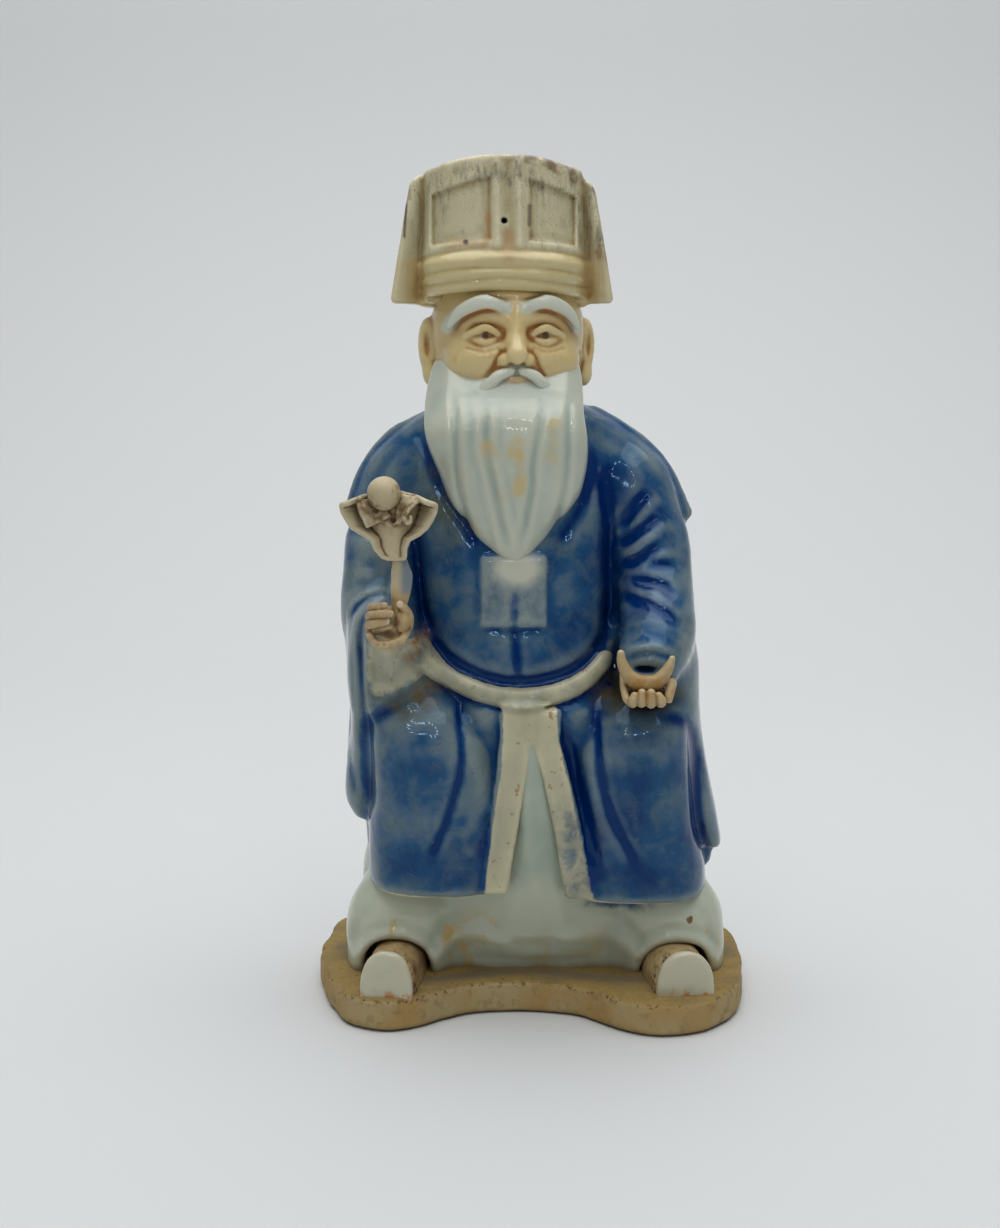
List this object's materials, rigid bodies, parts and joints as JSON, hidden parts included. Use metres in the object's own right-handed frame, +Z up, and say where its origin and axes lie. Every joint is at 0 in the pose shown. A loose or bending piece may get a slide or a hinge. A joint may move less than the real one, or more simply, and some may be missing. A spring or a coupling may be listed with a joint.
{
  "type": "seated porcelain deity figure",
  "caption": "Glazed porcelain figure of the seated god of wealth in a blue robe, with a long beard and a square hat, holding a ruyi and an ingot, on a low unglazed slab.",
  "frame": {"origin": "centre of the rectangle round the slab's underside", "axes": "+X to the viewer's right, -Y the way the figure faces, +Z up"},
  "size_m": [0.1416, 0.1055, 0.2696],
  "materials": {
    "cobalt_glaze": "gloss"
  },
  "bodies": {
    "root": {"caishen_figure": "cobalt_glaze"}
  },
  "joints": []
}
